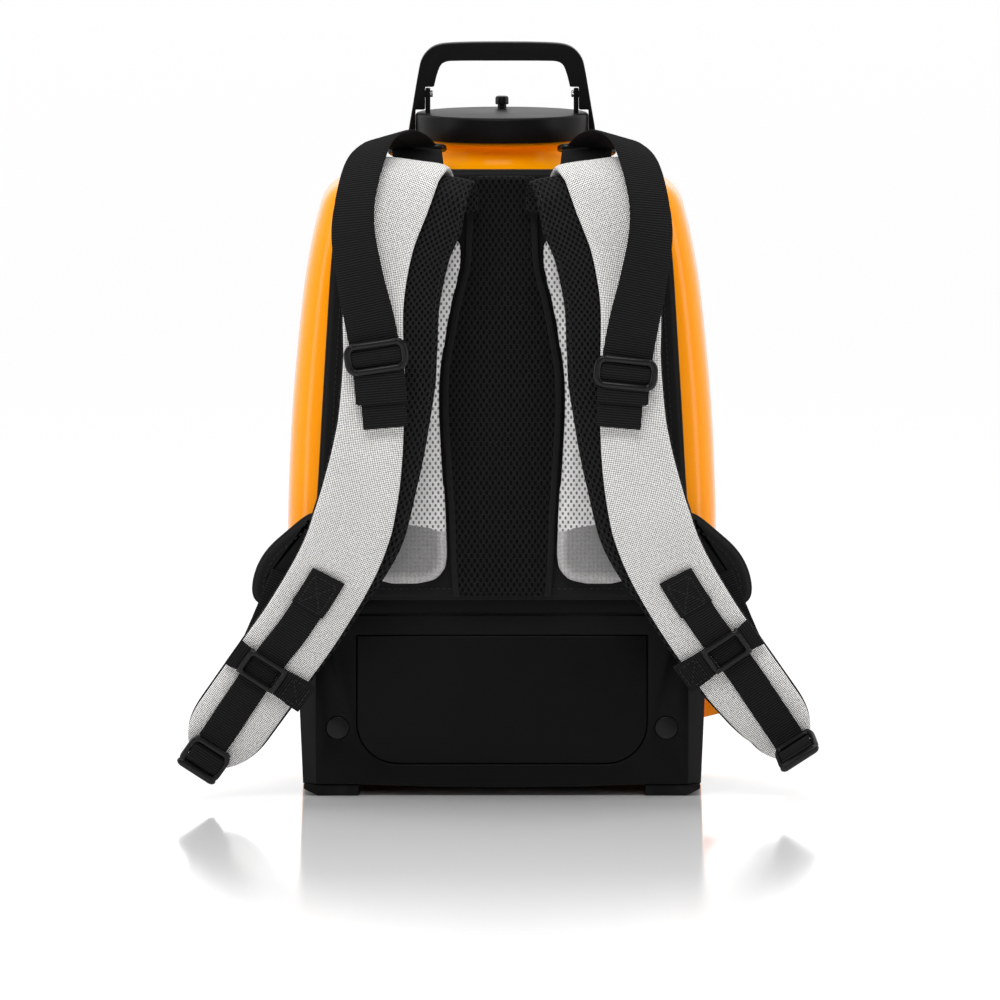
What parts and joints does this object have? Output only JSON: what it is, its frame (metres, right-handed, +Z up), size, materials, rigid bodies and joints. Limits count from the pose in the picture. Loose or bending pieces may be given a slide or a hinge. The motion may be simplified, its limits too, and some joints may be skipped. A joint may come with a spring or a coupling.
{
  "type": "backpack vacuum cleaner",
  "caption": "Backpack vacuum cleaner: orange moulded body on a black base, round lid with a folding bail handle, and a padded carrying harness with webbing and buckles.",
  "frame": {"origin": "on the floor, under the middle of the machine's outline", "axes": "+Z up, -Y towards the wearer, who stands on the harness side, +X to the right when looking at the harness"},
  "size_m": [0.4877, 0.3287, 0.5682],
  "materials": {
    "orange_plastic": "high gloss moulded",
    "housing_plastic": "fine satin grain",
    "trim_plastic": "satin",
    "rubber": "matt",
    "steel": "satin",
    "motor_metal": "machined, with copper windings",
    "grey_fabric": "coarse diagonal weave",
    "black_mesh": "open spacer mesh",
    "webbing": "ribbed woven tape",
    "filter_paper": "matt",
    "circuit": "solder mask"
  },
  "bodies": {
    "machine": {"base_housing": "housing_plastic", "front_panel": "housing_plastic", "foot_left": "rubber", "foot_right": "rubber", "boss_cap_left": "trim_plastic", "boss_cap_right": "trim_plastic", "mains_inlet": "trim_plastic", "rear_cover": "orange_plastic", "exhaust_filter": "filter_paper", "cord_hook": "orange_plastic", "main_shell": "orange_plastic", "deck_plate": "housing_plastic", "neck_collar": "orange_plastic", "inlet_flange": "housing_plastic", "filter_basket": "trim_plastic", "filter_bag": "filter_paper", "motor_mount_lower": "rubber", "motor_mount_upper": "rubber", "motor_housing": "steel", "bearing_lower": "steel", "bearing_upper": "steel", "circuit_board": "circuit", "harness_board": "black_mesh", "back_mesh_panel": "black_mesh", "side_wing_left": "black_mesh", "side_wing_right": "black_mesh", "lumbar_pad_left": "grey_fabric", "lumbar_pad_right": "grey_fabric", "shoulder_strap_left": "grey_fabric", "shoulder_strap_right": "grey_fabric", "strap_lining_left": "black_mesh", "strap_lining_right": "black_mesh", "lower_webbing_left": "webbing", "lower_webbing_right": "webbing", "lifter_webbing_left": "webbing", "lifter_webbing_right": "webbing", "tri_glide_left": "trim_plastic", "tri_glide_right": "trim_plastic", "anchor_loop_left": "trim_plastic", "anchor_loop_right": "trim_plastic", "return_webbing_left": "webbing", "return_webbing_right": "webbing"},
    "lid": {"lid": "trim_plastic", "lid_gasket": "rubber", "handle_pin_left": "steel", "handle_pin_right": "steel"},
    "lid_button": {"lid_button": "trim_plastic"},
    "handle": {"handle": "trim_plastic"},
    "power_switch": {"power_switch": "trim_plastic"},
    "exhaust_door": {"exhaust_door": "trim_plastic"},
    "hose_socket": {"hose_socket": "trim_plastic"},
    "motor_rotor": {"motor_rotor": "motor_metal"},
    "chest_slider_left": {"chest_slider_left": "trim_plastic", "chest_tail_left": "webbing"},
    "chest_slider_right": {"chest_slider_right": "trim_plastic", "chest_tail_right": "webbing"},
    "ladder_lock_left": {"ladder_lock_left": "trim_plastic"},
    "ladder_lock_right": {"ladder_lock_right": "trim_plastic"}
  },
  "joints": [
    {"name": "handle_fold", "type": "hinge", "parent": "lid", "child": "handle", "pos_m": [0, 0.03, 0.529], "axis": [1, 0, 0], "range_deg": [-50, 50]},
    {"name": "lid_lift", "type": "slide", "parent": "machine", "child": "lid", "axis": [0, 0, 1], "range_m": [0, 0.06]},
    {"name": "lid_button_press", "type": "slide", "parent": "lid", "child": "lid_button", "axis": [0, 0, -1], "range_m": [0, 0.0025], "stiffness_N_per_m": 600},
    {"name": "switch_tip", "type": "hinge", "parent": "machine", "child": "power_switch", "pos_m": [-0.1535, 0.03, 0.092], "axis": [0, 1, 0], "range_deg": [-6, 6]},
    {"name": "exhaust_door_open", "type": "hinge", "parent": "machine", "child": "exhaust_door", "pos_m": [0, 0.1405, 0.036], "axis": [-1, 0, 0], "range_deg": [0, 75]},
    {"name": "hose_swivel", "type": "hinge", "parent": "machine", "child": "hose_socket", "pos_m": [0, 0.126, 0.415], "axis": [0, 1, 0], "continuous": true},
    {"name": "motor_spin", "type": "hinge", "parent": "machine", "child": "motor_rotor", "pos_m": [0, 0.016, 0.083], "axis": [0, 0, 1], "continuous": true},
    {"name": "chest_slide_left", "type": "slide", "parent": "machine", "child": "chest_slider_left", "axis": [-0.5606, 0.1882, -0.8064], "range_m": [-0.012, 0.012]},
    {"name": "chest_slide_right", "type": "slide", "parent": "machine", "child": "chest_slider_right", "axis": [0.5695, 0.1904, -0.7996], "range_m": [-0.01, 0.012]},
    {"name": "ladder_tilt_left", "type": "hinge", "parent": "machine", "child": "ladder_lock_left", "pos_m": [-0.21921, -0.10648, 0.04225], "axis": [-0.8281, -0.1274, 0.546], "range_deg": [0, 60]},
    {"name": "ladder_tilt_right", "type": "hinge", "parent": "machine", "child": "ladder_lock_right", "pos_m": [0.22252, -0.10699, 0.04444], "axis": [-0.8281, 0.1274, -0.546], "range_deg": [-66, 0]}
  ]
}
